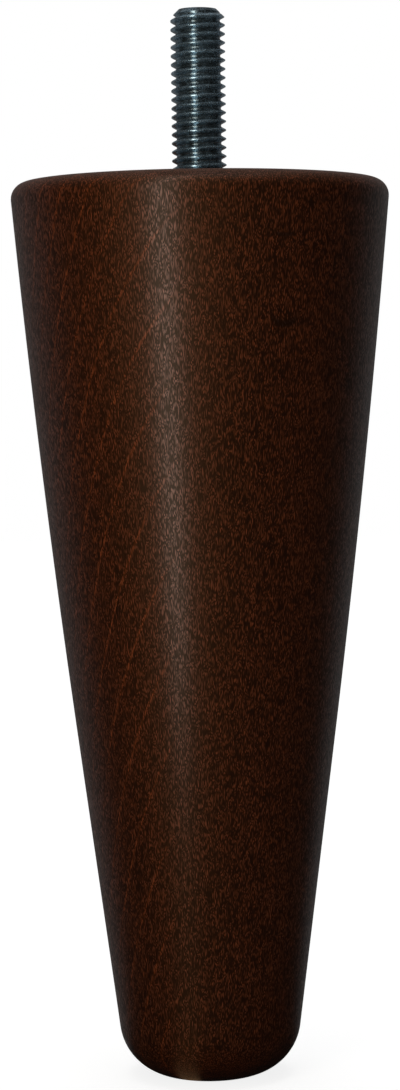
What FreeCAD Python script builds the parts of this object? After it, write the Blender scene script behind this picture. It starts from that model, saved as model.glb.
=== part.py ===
"""Tapered wooden furniture leg with the hanger bolt that fastens it, as a parametric document.

The leg is one turned piece of wood. The bolt is one piece of steel: a machine thread stands out of the
leg's top face, and a wood thread with a point is driven into a blind hole down the leg's axis. Both
threads are drawn at their major diameter. Millimetres, +Z up, origin at the middle of the foot.
"""

import FreeCAD, Part
import Sketcher
import math
import os

# Driving dimensions: alias, value, what it measures.
SIZES = [
    ("leg_height", 130, "foot to top face"),
    ("top_diameter", 55, "top face, before its edge is rounded"),
    ("foot_diameter", 24.6, "foot, before its edge is rounded"),
    ("eased_height", 80, "upper stretch of the side, where it bends in from the straight taper"),
    ("top_ease", 1.7, "how far the top's edge lies inside the straight taper, on the radius"),
    ("top_edge_round", 2.4, "radius round the top face"),
    ("foot_edge_round", 8.1, "radius round the foot"),
    ("stud_diameter", 8, "machine thread, major diameter"),
    ("stud_length", 24.6, "machine thread above the top face"),
    ("tip_chamfer", 1.2, "45 degree lead at the end of the stud"),
    ("waist_diameter", 7.1, "plain stretch between the two threads"),
    ("waist_length", 3, "plain stretch, with its 45 degree run-outs"),
    ("wood_thread_diameter", 8, "wood thread, major diameter"),
    ("wood_thread_length", 16, "wood thread above its point"),
    ("point_length", 6.4, "tapered point of the wood thread"),
    ("point_flat", 0.8, "diameter at the very end of the point"),
    ("hole_clearance", 0.05, "gap between the wood thread and its hole, on the radius"),
    ("hole_mouth_chamfer", 0.6, "45 degree edge break at the hole's mouth"),
    ("hole_spare_depth", 1, "full-width hole below the bolt's point"),
    ("drill_point_angle", 118, "included angle of the hole's bottom"),
]

# Radii and heights that both pieces share, so that the bolt and its hole stay together.
TOP = "sizes.leg_height"
WAIST_END = f"{TOP} - sizes.waist_length"
SHOULDER = f"{WAIST_END} - sizes.wood_thread_length"
POINT = f"{SHOULDER} - sizes.point_length"
STUD_RADIUS = "sizes.stud_diameter / 2"
WAIST_RADIUS = "sizes.waist_diameter / 2"
WOOD_RADIUS = "sizes.wood_thread_diameter / 2"

# How a sketch numbers its upright axis, its level axis, whose first point is the origin,
# and an edge's two ends.
UPRIGHT_AXIS, LEVEL_AXIS = range(-2, 0)
START, END = range(1, 3)


def add_sheet(doc):
    """The spreadsheet that holds the driving dimensions, one aliased cell each."""
    sheet = doc.addObject("Spreadsheet::Sheet", "sizes")
    for row, (alias, value, meaning) in enumerate(SIZES, start=1):
        sheet.set(f"A{row}", meaning)
        sheet.set(f"B{row}", str(value))
        sheet.setAlias(f"B{row}", alias)
    doc.recompute()


def add_body(doc, name):
    body = doc.addObject("PartDesign::Body", name)
    body.Label = name
    return body


def add_section_sketch(body, name):
    """A sketch on the body's upright XZ plane, whose upright axis is the axis of turning."""
    sketch = body.newObject("Sketcher::SketchObject", name)
    plane = next(f for f in body.Origin.OriginFeatures if f.Role == "XZ_Plane")
    sketch.AttachmentSupport = [(plane, "")]
    sketch.MapMode = "FlatFace"
    return sketch


def bind(sketch, name, kind, place, expression):
    """Adds a named dimension to the sketch and ties it to an expression of the sheet's cells."""
    value = float(sketch.evalExpression(expression))
    index = sketch.addConstraint(Sketcher.Constraint(kind, *place, value))
    sketch.renameConstraint(index, name)
    sketch.setExpression(f"Constraints.{name}", expression)


def tie_corner(sketch, edge, name, radius, height):
    """Ties the start of an edge to its radius and height, or to an axis where one is None."""
    from_origin = (LEVEL_AXIS, START, edge, START)
    if radius is None:
        sketch.addConstraint(Sketcher.Constraint("PointOnObject", edge, START, UPRIGHT_AXIS))
    else:
        bind(sketch, f"{name}_radius", "DistanceX", from_origin, radius)
    if height is None:
        sketch.addConstraint(Sketcher.Constraint("PointOnObject", edge, START, LEVEL_AXIS))
    else:
        bind(sketch, f"{name}_height", "DistanceY", from_origin, height)


def arc_onwards(last, here, there):
    """The arc that runs on smoothly from the straight edge between two points, to a third point."""
    chord = there - here
    outwards = chord.cross(FreeCAD.Vector(0, 0, 1))
    half_bend = (here - last).getAngle(chord) / 2
    return Part.Arc(here, (here + there + outwards * math.tan(half_bend)) / 2, there)


def round_corner(sketch, before, after, corner, size):
    """Rounds the corner between two edges. A construction point stays where the sharp corner was."""
    place = sketch.getPoint(after, START)
    apex = sketch.addGeometry(Part.Point(place), True)
    for edge in (before, after):
        sketch.addConstraint(Sketcher.Constraint("PointOnObject", apex, START, edge))
    tie_corner(sketch, apex, *corner)
    radius = sketch.evalExpression(size)
    far_ends = (sketch.getPoint(before, START), sketch.getPoint(after, END))
    picks = [place + (far - place).normalize() * radius for far in far_ends]
    sketch.fillet(before, after, *picks, radius, True)
    bind(sketch, f"{corner[0]}_round", "Radius", (sketch.GeometryCount - 1,), size)


def add_outline(sketch, corners, eased=(), rounds=None):
    """A closed half section, drawn corner by corner and tied down by its corners' expressions.

    Each corner has a name, a radius and a height. The edge that leaves a corner is straight, unless
    eased names that corner: then it is an arc that runs on smoothly from the edge before. The corners
    that rounds names are rounded to the radius given there.
    """
    points = []
    for _, radius, height in corners:
        points.append(FreeCAD.Vector(*(sketch.evalExpression(size or "0") for size in (radius, height)), 0))
    previous = points[-1:] + points[:-1]
    following = points[1:] + points[:1]
    edges = []
    for (name, _, _), last, here, there in zip(corners, previous, points, following):
        if name in eased:
            edges.append(sketch.addGeometry(arc_onwards(last, here, there)))
        else:
            edges.append(sketch.addGeometry(Part.LineSegment(here, there)))

    rounds = rounds or {}
    rounded = []
    for before, edge, corner in zip(edges[-1:] + edges, edges, corners):
        name = corner[0]
        joint = "Tangent" if name in eased else "Coincident"
        sketch.addConstraint(Sketcher.Constraint(joint, before, END, edge, START))
        if name in rounds:
            rounded.append((before, edge, corner, rounds[name]))
        else:
            tie_corner(sketch, edge, *corner)
    for before, edge, corner, size in rounded:
        round_corner(sketch, before, edge, corner, size)


def turn(body, kind, name, sketch):
    """Turns a half section once round the sketch's upright axis, as added or removed material."""
    feature = body.newObject(kind, name)
    feature.Profile = sketch
    feature.ReferenceAxis = (sketch, ["V_Axis"])
    feature.Angle = 360
    return feature


def build_leg(doc):
    """The turned leg: a straight taper, eased towards the top, rounded at both ends, drilled at the top."""
    body = add_body(doc, "leg_body")
    foot = "sizes.foot_diameter / 2"
    top = "sizes.top_diameter / 2"
    ease_start = f"{TOP} - sizes.eased_height"
    taper = f"({top} + sizes.top_ease - {foot}) / {TOP}"
    blank = add_section_sketch(body, "leg_section")
    add_outline(
        blank,
        [
            ("foot_middle", None, None),
            ("foot", foot, None),
            ("ease_start", f"{foot} + {taper} * ({ease_start})", ease_start),
            ("top", top, TOP),
            ("top_middle", None, TOP),
        ],
        eased=["ease_start"],
        rounds={"foot": "sizes.foot_edge_round", "top": "sizes.top_edge_round"},
    )
    turn(body, "PartDesign::Revolution", "turned_blank", blank)
    doc.recompute()

    wall = f"{WOOD_RADIUS} + sizes.hole_clearance"
    wall_end = f"{POINT} - sizes.hole_spare_depth"
    hole = add_section_sketch(body, "hole_section")
    add_outline(
        hole,
        [
            ("bottom", None, f"{wall_end} - ({wall}) / tan(sizes.drill_point_angle * 0.5 deg)"),
            ("wall_end", wall, wall_end),
            ("wall_start", wall, f"{TOP} - sizes.hole_mouth_chamfer"),
            ("mouth", f"{wall} + sizes.hole_mouth_chamfer", TOP),
            ("mouth_middle", None, TOP),
        ],
    )
    turn(body, "PartDesign::Groove", "bolt_hole", hole)
    doc.recompute()
    return body


def build_bolt(doc):
    """The hanger bolt, turned as one piece and drawn in the place where it sits in the leg."""
    body = add_body(doc, "hanger_bolt")
    tip = f"{TOP} + sizes.stud_length"
    section = add_section_sketch(body, "bolt_section")
    add_outline(
        section,
        [
            ("point_middle", None, POINT),
            ("point", "sizes.point_flat / 2", POINT),
            ("shoulder", WOOD_RADIUS, SHOULDER),
            ("wood_start", WOOD_RADIUS, WAIST_END),
            ("waist_low", WAIST_RADIUS, f"{WAIST_END} + {WOOD_RADIUS} - {WAIST_RADIUS}"),
            ("waist_high", WAIST_RADIUS, f"{TOP} - {STUD_RADIUS} + {WAIST_RADIUS}"),
            ("stud_start", STUD_RADIUS, TOP),
            ("stud_end", STUD_RADIUS, f"{tip} - sizes.tip_chamfer"),
            ("tip_edge", f"{STUD_RADIUS} - sizes.tip_chamfer", tip),
            ("tip_middle", None, tip),
        ],
    )
    turn(body, "PartDesign::Revolution", "turned_bolt", section)
    doc.recompute()
    return body


def check(doc, bodies):
    """Stops before anything is written if an object failed or a piece isn't one sound solid."""
    for item in doc.Objects:
        if {"Invalid", "Error"} & set(item.State):
            raise RuntimeError(f"{item.Label} failed to build: {item.State}")
    for body in bodies:
        if body.Shape.isNull() or not body.Shape.isValid() or len(body.Shape.Solids) != 1:
            raise RuntimeError(f"{body.Label} isn't one sound solid")


def main():
    doc = FreeCAD.newDocument("furniture_leg")
    add_sheet(doc)
    bodies = [build_leg(doc), build_bolt(doc)]
    doc.recompute()
    check(doc, bodies)
    os.makedirs("parts", exist_ok=True)
    for body in bodies:
        body.Shape.exportStep(f"parts/{body.Label}.step")
        box = body.Shape.BoundBox
        print(f"{body.Label}: volume {body.Shape.Volume:.1f}, from z {box.ZMin:.3f} to {box.ZMax:.3f}")


main()
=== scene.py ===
# Tapered furniture leg: turned wood, stained and lacquered, with a blackened hanger bolt in its top.
import math

import bmesh
import bpy
import numpy as np
from mathutils import Matrix, Vector


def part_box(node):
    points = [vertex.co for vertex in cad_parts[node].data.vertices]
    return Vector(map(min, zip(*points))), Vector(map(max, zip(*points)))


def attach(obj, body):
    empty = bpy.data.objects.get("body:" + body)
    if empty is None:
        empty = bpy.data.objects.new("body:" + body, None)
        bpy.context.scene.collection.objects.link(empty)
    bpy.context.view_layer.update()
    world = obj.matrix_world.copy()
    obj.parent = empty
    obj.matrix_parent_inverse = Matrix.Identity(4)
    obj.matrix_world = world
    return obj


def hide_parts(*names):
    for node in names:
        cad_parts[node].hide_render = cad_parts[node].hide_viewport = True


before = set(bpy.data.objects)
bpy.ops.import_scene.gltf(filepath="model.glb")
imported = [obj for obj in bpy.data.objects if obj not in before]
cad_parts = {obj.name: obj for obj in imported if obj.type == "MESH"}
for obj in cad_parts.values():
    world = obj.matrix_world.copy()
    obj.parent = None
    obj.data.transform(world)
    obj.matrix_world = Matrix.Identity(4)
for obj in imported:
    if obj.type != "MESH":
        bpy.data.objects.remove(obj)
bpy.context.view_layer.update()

mm = 0.001
print("frame loaded:", ", ".join(sorted(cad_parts)))


def towards(bearing):  # level unit vector: 0 is the camera's side, a positive bearing lies to its right
    return Vector((math.sin(bearing), -math.cos(bearing), 0))


# Shader sockets as Python values
class Wire:
    def __init__(self, tree, socket=None):
        self.tree = tree
        self.socket = socket

    def node(self, kind, settings=None, sockets=None, out=0):  # settings first, then socket values and links
        made = self.tree.nodes.new("ShaderNode" + kind)
        for key, value in (settings or {}).items():
            setattr(made, key, value)
        for key, value in (sockets or {}).items():
            if isinstance(value, Wire):
                self.tree.links.new(value.socket, made.inputs[key])
            else:
                made.inputs[key].default_value = value
        return Wire(self.tree, made.outputs[out] if len(made.outputs) else None)

    def math(self, operation, *values):
        return self.node("Math", {"operation": operation}, dict(enumerate(values)))

    def __add__(self, other):
        return self.math("ADD", self, other)

    def __sub__(self, other):
        return self.math("SUBTRACT", self, other)

    def __rsub__(self, other):
        return self.math("SUBTRACT", other, self)

    def __mul__(self, other):
        return self.math("MULTIPLY", self, other)

    __radd__ = __add__
    __rmul__ = __mul__


def newMaterial(name):
    material = bpy.data.materials.new(name)
    material.use_nodes = True
    material.node_tree.nodes.clear()
    return material, Wire(material.node_tree)


def mixColour(factor, low, high):  # low where factor is 0, high where it is 1
    colours = {0: factor, 6: low, 7: high}  # a Mix node's colours are inputs 6 and 7, and output 2
    return factor.node("Mix", {"data_type": "RGBA"}, colours, out=2)


def rise(value, start, end):  # smooth step from 0 at start to 1 at end
    limits = {"Value": value, "From Min": start, "From Max": end}
    return value.node("MapRange", {"interpolation_type": "SMOOTHSTEP"}, limits)


noiseMiddle = 0.5  # the value that noise lies around
noiseRoughness = 0.55  # strength of each finer layer beside the one before


def stretchedNoise(place, perMetre, detail=2.0, lean=(0, 0, 0)):  # noise with its own pitch along x, y and z
    grid = place.node("Mapping", None, {"Vector": place, "Rotation": lean, "Scale": perMetre})
    layers = {"Vector": grid, "Scale": 1.0, "Detail": detail, "Roughness": noiseRoughness}
    return place.node("TexNoise", None, layers)


# Surfaces on a grid
weldDistance = 0.0004 * mm  # points of one piece that lie closer than this become one


def gridFaces(rows, columns):  # quads between neighbouring rows and columns, facing away from the axis
    corner = np.arange(rows * columns).reshape(rows, columns)
    around = [corner[:-1, :-1], corner[:-1, 1:], corner[1:, 1:], corner[1:, :-1]]
    return np.stack(around, axis=-1).reshape(-1, 4)


def turned(profile, steps):  # profile rows (radius, height) carried once round the z axis
    angle = np.linspace(0, 2 * np.pi, steps + 1)
    radius, height = profile[:, :1], profile[:, 1:]
    flat = np.ones_like(angle)
    return np.stack([radius * np.cos(angle), radius * np.sin(angle), height * flat], axis=-1)


def arcPoints(centre, radius, start, end, steps):  # centre plus radius times (cosine, sine) of the angle
    angle = np.linspace(start, end, steps + 1)
    return np.asarray(centre) + radius * np.stack([np.cos(angle), np.sin(angle)], axis=1)


def linePoints(start, end, steps):  # steps equal spans from start to end
    share = np.linspace(0, 1, steps + 1)[:, None]
    return np.asarray(start) * (1 - share) + np.asarray(end) * share


def addPiece(name, grids, material, node, sharpAngle):  # grids are welded where they meet
    points = [grid.reshape(-1, 3) for grid in grids]
    starts = np.cumsum([0] + [len(part) for part in points])
    faces = [gridFaces(*grid.shape[:2]) + start for grid, start in zip(grids, starts)]
    mesh = bpy.data.meshes.new(name)
    mesh.from_pydata(np.concatenate(points), [], np.concatenate(faces))
    welded = bmesh.new()
    welded.from_mesh(mesh)
    bmesh.ops.remove_doubles(welded, verts=welded.verts, dist=weldDistance)
    welded.to_mesh(mesh)
    welded.free()
    mesh.shade_smooth()
    mesh.set_sharp_from_angle(angle=sharpAngle)
    mesh.materials.append(material)
    piece = bpy.data.objects.new(name, mesh)
    bpy.context.scene.collection.objects.link(piece)
    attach(piece, "root")
    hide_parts(node)
    print(name, "made:", len(mesh.polygons), "faces")


# Turned leg
_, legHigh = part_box("leg_body")
legShape = dict(
    height=legHigh.z,
    footDiameter=24.6 * mm,  # before the edge is rounded
    topDiameter=55 * mm,  # before the edge is rounded
    easedHeight=80 * mm,  # upper stretch that bends in from the straight taper
    topEase=1.7 * mm,  # how far the top lies inside the straight taper
    footRound=8.1 * mm,
    topRound=2.4 * mm,
    holeDiameter=8.1 * mm,
    mouthChamfer=0.6 * mm,
    holeDepth=26.4 * mm,  # down to the drill's shoulder
    drillAngle=math.radians(118),
    inset=0.02 * mm,  # keeps the corners of the facets inside the solid's own box
    steps=240,  # facets round the leg; spans has those along its profile
    spans=dict(foot=8, footRound=28, taper=40, ease=64, topRound=16, top=16, mouth=2, wall=10, drillPoint=4),
    sharpAngle=math.radians(40),  # an edge that bends more than this is shaded sharp
)


def legProfile(shape):  # foot, foot round, straight taper, ease arc, top round, top face, then down the hole
    spans = shape["spans"]
    height, footRound, topRound = shape["height"], shape["footRound"], shape["topRound"]
    foot, top = shape["footDiameter"] / 2 - shape["inset"], shape["topDiameter"] / 2 - shape["inset"]
    taper = (top + shape["topEase"] - foot) / height
    lean = math.atan(taper)
    inwards = np.array([-math.cos(lean), math.sin(lean)])  # square to the taper, towards the axis
    footCentre = np.array([foot + taper * footRound - footRound / math.cos(lean), footRound])
    easeFoot = height - shape["easedHeight"]
    easeStart = np.array([foot + taper * easeFoot, easeFoot])
    reach = np.array([top, height]) - easeStart
    easeRadius = reach @ reach / (2 * (reach @ inwards))  # tangent to the taper, through the top corner
    easeCentre = easeStart + easeRadius * inwards
    climb = height - topRound - easeCentre[1]  # from the ease's centre up to the top round's
    across = math.sqrt((easeRadius - topRound) ** 2 - climb**2)  # and out to it
    topCentre = np.array([easeCentre[0] + across, height - topRound])
    easeEnd = math.atan2(climb, across)
    hole = shape["holeDiameter"] / 2
    mouth, wallTop = hole + shape["mouthChamfer"], height - shape["mouthChamfer"]
    shoulder = height - shape["holeDepth"]
    drillPoint = shoulder - hole / math.tan(shape["drillAngle"] / 2)
    parts = [
        linePoints((0, 0), (footCentre[0], 0), spans["foot"]),
        arcPoints(footCentre, footRound, -math.pi / 2, -lean, spans["footRound"]),
        linePoints(footCentre - footRound * inwards, easeStart, spans["taper"]),
        arcPoints(easeCentre, easeRadius, -lean, easeEnd, spans["ease"]),
        arcPoints(topCentre, topRound, easeEnd, math.pi / 2, spans["topRound"]),
        linePoints((topCentre[0], height), (mouth, height), spans["top"]),
        linePoints((mouth, height), (hole, wallTop), spans["mouth"]),
        linePoints((hole, wallTop), (hole, shoulder), spans["wall"]),
        linePoints((hole, shoulder), (0, drillPoint), spans["drillPoint"]),
    ]
    return np.concatenate(parts[:1] + [part[1:] for part in parts[1:]])  # each starts where the last ends


woodLook = dict(
    deep=(0.0100, 0.0018, 0.0003, 1),  # between the flecks
    warm=(0.1880, 0.0345, 0.0050, 1),  # on the flecks
    fleckPitch=(5800, 5800, 1450),  # flecks to the metre across and along the grain
    fleckScatter=0.8,  # 0 sets them in rows, 1 anywhere
    fleckFade=(0.14, 0.57),  # from the middle of a fleck to its edge, in cells
    fleckSpread=0.9,  # how much lighter the lightest fleck is than the darkest
    fleckLeast=0.55,  # brightness of the darkest
    shiftPitch=(2800, 2800, 150),  # noise that shifts the flecks along the grain, so that they form no rows
    shiftCells=6,  # the most that it shifts them by
    fibrePitch=(1500, 1500, 60),
    mottlePitch=(70, 70, 28),
    grainLean=(0.02, 0.035, 0),  # the grain leans a little from the leg's axis
    fleckTone=0.66,  # how far a fleck goes from deep to warm
    ringGain=0.9,  # how much further it goes on a growth line
    ringTone=0.17,  # what such a line adds all along it
    fibreTone=0.12,  # swing of the fibres, lighter and darker
    mottleTone=0.05,
    sheen=0.4,  # of the wood under its lacquer
    sheenTint=(0.86, 0.47, 0.21, 1),
    sheenRoughness=0.55,
    lacquerLeast=0.2,  # where it sinks in between the flecks
    lacquerRoughness=0.3,
    relief=0.012 * mm,  # height of the flecks and fibres under the lacquer
    fleckRelief=0.7,  # the flecks' share in it
)
ringLook = dict(
    spacing=3.2 * mm,
    bearing=math.radians(22),  # side of the leg that the rings lie flat against
    lean=math.radians(22),  # of the pith, towards that side
    pithDistance=110 * mm,  # from the leg's axis, at the foot
    wander=0.9,  # how far the lines stray
    wanderScale=0.3,
    crest=(0.984, 1.0),  # of the wave from ring to ring, the part that shows as a line
    breaks=(0.25, 0.5),  # mottle where the lines are gone, and where they are whole
    fade=(-2 * mm, -9 * mm),  # the lines come out from the first x to the second, so they show only on the lit left side: real grain, with painted light in where it shows
)
knotLook = dict(
    core=0.55,  # dark out to this share of the half sizes
    lift=0.55,  # half heights from a knot's middle up to the part cut out of it
)
pinKnots = [  # dark crescents, each with its middle and its half sizes
    dict(middle=(11.5 * mm, -24.1 * mm, 121.4 * mm), size=(2.1 * mm, 2.1 * mm, 0.95 * mm)),
    dict(middle=(11.4 * mm, -22.9 * mm, 109.8 * mm), size=(2.6 * mm, 2.6 * mm, 1.9 * mm)),
]


def flecks(place, look):  # cells shifted along the grain, each fading from its middle, with its own shade
    lean = look["grainLean"]
    grid = place.node("Mapping", None, {"Vector": place, "Rotation": lean, "Scale": look["fleckPitch"]})
    shift = stretchedNoise(place, look["shiftPitch"], detail=0.0, lean=lean) * look["shiftCells"]
    along = place.node("CombineXYZ", None, {"Z": shift})
    shifted = place.node("VectorMath", {"operation": "ADD"}, {0: grid, 1: along})
    cells = {"Vector": shifted, "Scale": 1.0, "Randomness": look["fleckScatter"]}
    fromMiddle = place.node("TexVoronoi", None, cells, out="Distance")
    mark = place.node("TexVoronoi", None, cells, out="Color")
    shade = place.node("SeparateColor", None, {0: mark}, out="Red")
    return (1 - rise(fromMiddle, *look["fleckFade"])) * (shade * look["fleckSpread"] + look["fleckLeast"])


def growthRings(place, look):  # thin lines round a pith that leans from the leg's axis
    flatSide = towards(look["bearing"])
    pith = flatSide * math.tan(look["lean"]) + Vector((0, 0, 1))
    turn = pith.to_track_quat("Z", "Y").to_euler()
    seat = {"Vector": place, "Location": flatSide * -look["pithDistance"], "Rotation": turn}
    grid = place.node("Mapping", {"vector_type": "TEXTURE"}, seat)
    waveTurns = 20 / (2 * math.pi)  # rings to the metre at a scale of 1
    bands = {"Vector": grid, "Scale": 1 / (look["spacing"] * waveTurns)}
    bands.update({"Distortion": look["wander"], "Detail Scale": look["wanderScale"]})
    wave = place.node("TexWave", {"wave_type": "RINGS", "rings_direction": "Z"}, bands, out="Fac")
    # painted light: the lines fade out towards the shaded right side
    x = place.node("SeparateXYZ", None, {0: place}, out="X")
    return rise(wave, *look["crest"]) * rise(x, *look["fade"])


def ball(place, middle, size, core):  # 1 in the core of an ellipsoid, fading to 0 at its surface
    seat = {"Vector": place, "Location": middle, "Scale": size}
    grid = place.node("Mapping", {"vector_type": "TEXTURE"}, seat)
    fromMiddle = place.node("VectorMath", {"operation": "LENGTH"}, {0: grid}, out="Value")
    return 1 - rise(fromMiddle, core, 1.0)


def crescent(place, knot, look):  # a ball, less another of its size a little further up
    x, y, z = knot["middle"]
    size = knot["size"]
    raised = (x, y, z + size[2] * look["lift"])
    return ball(place, knot["middle"], size, look["core"]) * (1 - ball(place, raised, size, look["core"]))


def stainedWood(look):
    material, wire = newMaterial("stained_wood")
    place = wire.node("TexCoord", out="Object")
    fleck = flecks(place, look)
    fibre = stretchedNoise(place, look["fibrePitch"], lean=look["grainLean"])
    mottle = stretchedNoise(place, look["mottlePitch"], lean=look["grainLean"])
    ring = growthRings(place, ringLook) * rise(mottle, *ringLook["breaks"])
    knots = sum(crescent(place, knot, knotLook) for knot in pinKnots)
    tone = fleck * (ring * look["ringGain"] + look["fleckTone"]) + ring * look["ringTone"]
    tone = tone + (fibre - noiseMiddle) * look["fibreTone"] + (mottle - noiseMiddle) * look["mottleTone"]
    lacquer = fleck * (1 - look["lacquerLeast"]) + look["lacquerLeast"]
    height = fleck * look["fleckRelief"] + fibre * (1 - look["fleckRelief"])
    finish = {
        "Base Color": mixColour(tone * (1 - knots), look["deep"], look["warm"]),
        "Roughness": look["sheenRoughness"],
        "Specular IOR Level": look["sheen"],
        "Specular Tint": look["sheenTint"],
        "Coat Weight": wire.math("MINIMUM", lacquer, 1.0),
        "Coat Roughness": look["lacquerRoughness"],
        "Normal": wire.node("Bump", None, {"Distance": look["relief"], "Height": height}),
    }
    wood = wire.node("BsdfPrincipled", None, finish)
    wire.node("OutputMaterial", None, {"Surface": wood})
    return material


wood = stainedWood(woodLook)
legSurface = turned(legProfile(legShape), legShape["steps"])
addPiece("turned_leg", [legSurface], wood, "leg_body", legShape["sharpAngle"])

# Hanger bolt
boltLow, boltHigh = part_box("hanger_bolt")
boltShape = dict(
    point=boltLow.z,
    tip=boltHigh.z,
    topFace=legShape["height"],
    waistRadius=3.55 * mm,
    waistLength=3 * mm,  # with its run-outs
    runOut=0.45 * mm,  # height of the 45 degree run-out at each end of the waist
    rootSlope=0.6,  # how fast the roots of a thread deepen from there
    steps=96,  # facets round the bolt
    sharpAngle=math.radians(50),
)
waistHigh = boltShape["topFace"] - boltShape["runOut"]
waistLow = boltShape["topFace"] - boltShape["waistLength"] + boltShape["runOut"]
studThread = dict(
    pitch=1.25 * mm,
    crestRadius=3.93 * mm,
    rootRadius=3.22 * mm,
    crestShare=0.125,  # flat on the crest, share of the pitch
    rootShare=0.2,
    softness=0.4,  # 0 has straight flanks, 1 rounds them into the crest and the root
    tipRadius=2.75 * mm,  # the lead chamfer runs in to this
    crestHeight=152.3 * mm,  # a crest's height on the +X side
    spans=16,  # facets across one pitch
)
woodThread = dict(
    pitch=3.4 * mm,
    crestRadius=3.96 * mm,
    rootRadius=2.85 * mm,
    crestShare=0.06,
    rootShare=0.55,
    softness=0.4,
    pointLength=6.4 * mm,
    pointRadius=0.38 * mm,
    crestHeight=120 * mm,
    spans=24,
)


def threadHeight(share, thread):  # 1 on the crest, 0 in the root, softened straight flanks
    fromCrest = np.abs(share - 0.5) * 2
    rootEdge = 1 - thread["rootShare"]
    flank = np.clip((rootEdge - fromCrest) / (rootEdge - thread["crestShare"]), 0, 1)
    return (1 - thread["softness"]) * flank + thread["softness"] * flank**2 * (3 - 2 * flank)


def threadSurface(thread, low, high, steps, limits):
    # one pitch of thread section carried up a right-hand helix; what passes an end folds onto its ring
    pitch = thread["pitch"]
    firstTurn = math.floor((low - thread["crestHeight"]) / pitch) - 1  # spare turns here and at the high end
    turns = math.ceil((high - low) / pitch) + 3
    step = np.arange(turns * steps + 1)[:, None]
    share = np.linspace(0, 1, thread["spans"] + 1)[None, :]
    angle = 2 * np.pi * step / steps
    height = thread["crestHeight"] + pitch * (firstTurn + step / steps + share - 0.5)
    height = np.clip(height, low, high)
    depth = thread["crestRadius"] - thread["rootRadius"]
    radius = thread["rootRadius"] + depth * threadHeight(share, thread)
    radius = limits(np.broadcast_to(radius, height.shape), height)
    rows = np.stack([radius * np.cos(angle), radius * np.sin(angle), height], axis=-1)
    return rows.transpose(1, 0, 2)  # sections become columns, so that faces look outwards


def leaveWaist(radius, distance):  # between a 45 degree run-out and roots that deepen with distance
    waist = boltShape["waistRadius"]
    return np.clip(radius, waist - boltShape["rootSlope"] * distance, waist + distance)


def studLimits(radius, height):  # out from the waist below, and a 45 degree lead at the tip
    lead = studThread["tipRadius"] + (boltShape["tip"] - height)
    return np.minimum(leaveWaist(radius, height - waistHigh), lead)


def woodLimits(radius, height):  # out from the waist above, and shrunk to a cone at the point
    share = np.clip((height - boltShape["point"]) / woodThread["pointLength"], 0, 1)
    narrow = woodThread["pointRadius"] / woodThread["crestRadius"]
    pointed = radius * (narrow + (1 - narrow) * share)
    closed = np.where(share > 0, pointed, woodThread["pointRadius"])
    return leaveWaist(closed, waistLow - height)


def boltGrids(bolt):  # from the point up: end face, wood thread, waist, machine thread, end face
    pointFace = np.array([(0, bolt["point"]), (woodThread["pointRadius"], bolt["point"])])
    waist = np.array([(bolt["waistRadius"], waistLow), (bolt["waistRadius"], waistHigh)])
    tipFace = np.array([(studThread["tipRadius"], bolt["tip"]), (0, bolt["tip"])])
    return [
        turned(pointFace, bolt["steps"]),
        threadSurface(woodThread, bolt["point"], waistLow, bolt["steps"], woodLimits),
        turned(waist, bolt["steps"]),
        threadSurface(studThread, waistHigh, bolt["tip"], bolt["steps"], studLimits),
        turned(tipFace, bolt["steps"]),
    ]


steelLook = dict(
    plate=(0.072, 0.092, 0.100, 1),  # in the roots of the threads
    worn=(0.440, 0.610, 0.740, 1),  # on their crests
    crestWear=0.38,  # how far the wear follows the crests; the rest is in clouds
    wearFrom=3.3 * mm,  # distance from the axis where the wear starts
    wearFull=3.8 * mm,
    cloudPitch=(900, 900, 900),
    speckPitch=(4200, 4200, 4200),
    cloudShare=0.6,  # of the noise that makes the clouds; the rest is specks
    cloudEdge=(0.35, 0.68),
    metallic=0.85,
    roughness=0.25,
    roughnessSpread=0.25,
    relief=0.06 * mm,  # height of the specks
    reliefStrength=0.2,
)


def blackenedSteel(look):
    material, wire = newMaterial("blackened_steel")
    place = wire.node("TexCoord", out="Object")
    cloud = stretchedNoise(place, look["cloudPitch"], detail=3.0)
    speck = stretchedNoise(place, look["speckPitch"])
    level = wire.node("Mapping", None, {"Vector": place, "Scale": (1, 1, 0)})
    fromAxis = wire.node("VectorMath", {"operation": "LENGTH"}, {0: level}, out="Value")
    crest = rise(fromAxis, look["wearFrom"], look["wearFull"])
    clouds = rise(cloud * look["cloudShare"] + speck * (1 - look["cloudShare"]), *look["cloudEdge"])
    tone = crest * look["crestWear"] + clouds * (1 - look["crestWear"])
    relief = {"Strength": look["reliefStrength"], "Distance": look["relief"], "Height": speck}
    finish = {
        "Base Color": mixColour(tone, look["plate"], look["worn"]),
        "Metallic": look["metallic"],
        "Roughness": (speck - noiseMiddle) * look["roughnessSpread"] + look["roughness"],
        "Normal": wire.node("Bump", None, relief),
    }
    steel = wire.node("BsdfPrincipled", None, finish)
    wire.node("OutputMaterial", None, {"Surface": steel})
    return material


steel = blackenedSteel(steelLook)
boltSurface = boltGrids(boltShape)
addPiece("threaded_bolt", boltSurface, steel, "hanger_bolt", boltShape["sharpAngle"])

# Floor and backdrop
stageLook = dict(
    floorSize=3.0,
    floorColour=(0.35, 0.35, 0.35, 1),  # as it lights the leg from below
    seenGlow=0.85,  # white of the floor in the picture, before its own light is added
    seenColour=(0.2, 0.2, 0.2, 1),
    mirroredRoom=(0.009, 0.009, 0.009, 1),  # what reflections show of the room
    mirroredBackdrop=(0.16, 0.16, 0.16, 1),
)
# sides of the room: each edge is given by the cosine of the angle from the side's middle
backdrop = dict(middle=towards(math.radians(188)), edge=(0.2, 0.65), light=0.70)
brighterSide = dict(middle=towards(math.radians(18)), edge=(0.0, 1.0), light=0.36)
ceiling = dict(middle=(0, 0, 1), edge=(0.9, 0.99), light=6.6)
# a painted pool of the lamps' light on the floor, which glows only in reflections
paintedLampPool = dict(middle=towards(math.radians(-23)), edge=(0.970, 0.995), mirrored=(0.28, 0.17, 0.09, 1))


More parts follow.
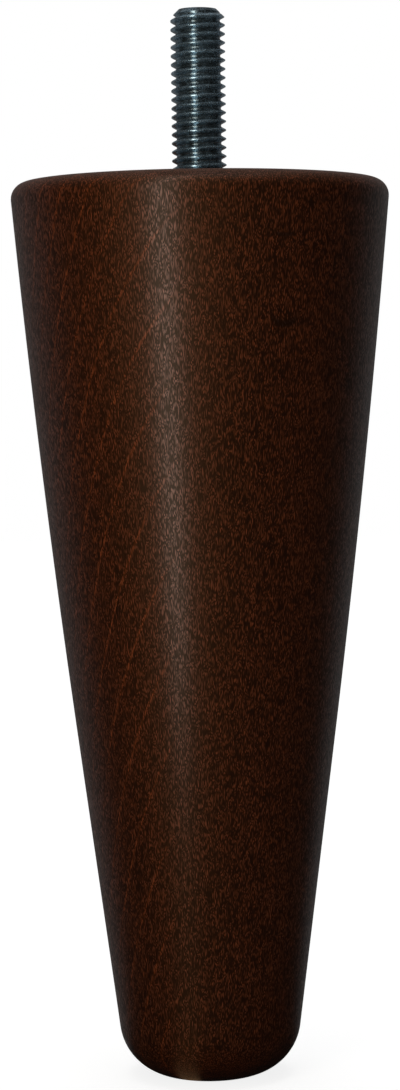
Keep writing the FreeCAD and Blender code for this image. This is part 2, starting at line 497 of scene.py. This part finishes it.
def rayKinds(wire):  # 1 for rays from the camera, and 1 for reflections and what is seen through
    camera = wire.node("LightPath", out="Is Camera Ray")
    glossy = wire.node("LightPath", out="Is Glossy Ray")
    through = wire.node("LightPath", out="Is Transmission Ray")
    return camera, glossy + through


def facing(heading, side):  # 1 towards the middle of a side of the room, 0 away from it
    pair = {0: heading, 1: side["middle"]}
    return rise(heading.node("VectorMath", {"operation": "DOT_PRODUCT"}, pair, out="Value"), *side["edge"])


def mirroredColour(heading, look):
    return mixColour(facing(heading, backdrop), look["mirroredRoom"], look["mirroredBackdrop"])


def lightFrom(heading):
    return sum(facing(heading, side) * side["light"] for side in (backdrop, brighterSide, ceiling))


def paleFloor(look):  # white in the picture, dim in reflections apart from a painted pool of lamp light, pale grey to all other light
    material, wire = newMaterial("pale_floor")
    camera, mirrored = rayKinds(wire)
    lit = wire.node("BsdfDiffuse", None, {"Color": look["floorColour"]})
    faint = wire.node("BsdfDiffuse", None, {"Color": look["seenColour"]})
    seen = wire.node("Emission", None, {"Strength": look["seenGlow"]})
    place = wire.node("TexCoord", out="Object")
    heading = wire.node("VectorMath", {"operation": "NORMALIZE"}, {0: place})
    # painted reflection: towards the lamps the floor glows, for reflections only
    glow = mixColour(facing(heading, paintedLampPool), mirroredColour(heading, look), paintedLampPool["mirrored"])
    reflected = wire.node("Emission", None, {"Color": glow})
    white = wire.node("AddShader", None, {0: faint, 1: seen})
    inPicture = wire.node("MixShader", None, {0: camera, 1: lit, 2: white})
    surface = wire.node("MixShader", None, {0: mirrored, 1: inPicture, 2: reflected})
    wire.node("OutputMaterial", None, {"Surface": surface})
    return material


def addFloor(look):  # one flat square at the foot's height
    half = look["floorSize"] / 2
    corners = np.array([[(-half, -half, 0), (half, -half, 0)], [(-half, half, 0), (half, half, 0)]])
    mesh = bpy.data.meshes.new("floor")
    mesh.from_pydata(corners.reshape(-1, 3), [], gridFaces(2, 2))
    mesh.materials.append(paleFloor(look))
    floor = bpy.data.objects.new("floor", mesh)
    bpy.context.scene.collection.objects.link(floor)


def addWorld(look):  # as the floor: white in the picture, dim in reflections, the sides' light otherwise
    world = bpy.data.worlds.new("studio")
    world.use_nodes = True
    world.node_tree.nodes.clear()
    wire = Wire(world.node_tree)
    camera, mirrored = rayKinds(wire)
    heading = wire.node("TexCoord", out="Generated")
    white = (1, 1, 1, 1)
    light = wire.node("Background", None, {"Color": white, "Strength": lightFrom(heading)})
    seen = wire.node("Background", None, {"Color": white})
    reflected = wire.node("Background", None, {"Color": mirroredColour(heading, look)})
    inPicture = wire.node("MixShader", None, {0: camera, 1: light, 2: seen})
    sky = wire.node("MixShader", None, {0: mirrored, 1: inPicture, 2: reflected})
    wire.node("OutputWorld", None, {"Surface": sky})
    bpy.context.scene.world = world


addFloor(stageLook)
addWorld(stageLook)
print("floor and backdrop made")

# Lamps
keyColour = (1.0, 0.93, 0.80)
keyPanels = dict(  # metres and watts; together the two fade towards the floor
    long=dict(bearing=math.radians(-21), distance=0.150, middle=0.20, size=(0.03, 0.40), power=0.095),
    short=dict(bearing=math.radians(-21), distance=0.151, middle=0.21, size=(0.03, 0.38), power=0.086),
)


def addPanel(name, panel):  # an upright panel that faces the leg's axis
    lamp = bpy.data.lights.new(name, "AREA")
    lamp.shape = "RECTANGLE"
    lamp.size, lamp.size_y = panel["size"]
    lamp.energy = panel["power"]
    lamp.color = keyColour
    place = towards(panel["bearing"]) * panel["distance"]
    turn = (-place).to_track_quat("-Z", "Y").to_matrix().to_4x4()
    holder = bpy.data.objects.new(name, lamp)
    holder.matrix_world = Matrix.Translation(place + Vector((0, 0, panel["middle"]))) @ turn
    holder.visible_camera = False
    bpy.context.scene.collection.objects.link(holder)


for length, panel in keyPanels.items():
    addPanel(f"{length}_panel", panel)
print("lamps placed:", ", ".join(keyPanels))

# Camera at the photo's angle
photoView = dict(
    place=(-0.619 * mm, -420 * mm, 100.2 * mm),
    downwards=math.radians(3.106),
    roll=math.radians(-0.7403),
    lens=2893.2,  # focal length in pixels of the 400 x 1090 frame
    frameHeight=1090,
    sensor=36,
    nearest=10 * mm,  # what is closer isn't drawn
)


def addCamera(view):
    lens = bpy.data.cameras.new("camera")
    lens.sensor_fit = "VERTICAL"
    lens.sensor_height = view["sensor"]
    lens.lens = view["lens"] / view["frameHeight"] * view["sensor"]
    lens.clip_start = view["nearest"]
    camera = bpy.data.objects.new("camera", lens)
    tilt = Matrix.Rotation(math.pi / 2 - view["downwards"], 4, "X")
    camera.matrix_world = Matrix.Translation(view["place"]) @ tilt @ Matrix.Rotation(view["roll"], 4, "Z")
    bpy.context.scene.collection.objects.link(camera)
    bpy.context.scene.camera = camera


addCamera(photoView)
bpy.context.scene.view_settings.view_transform = "Standard"
print("camera placed")
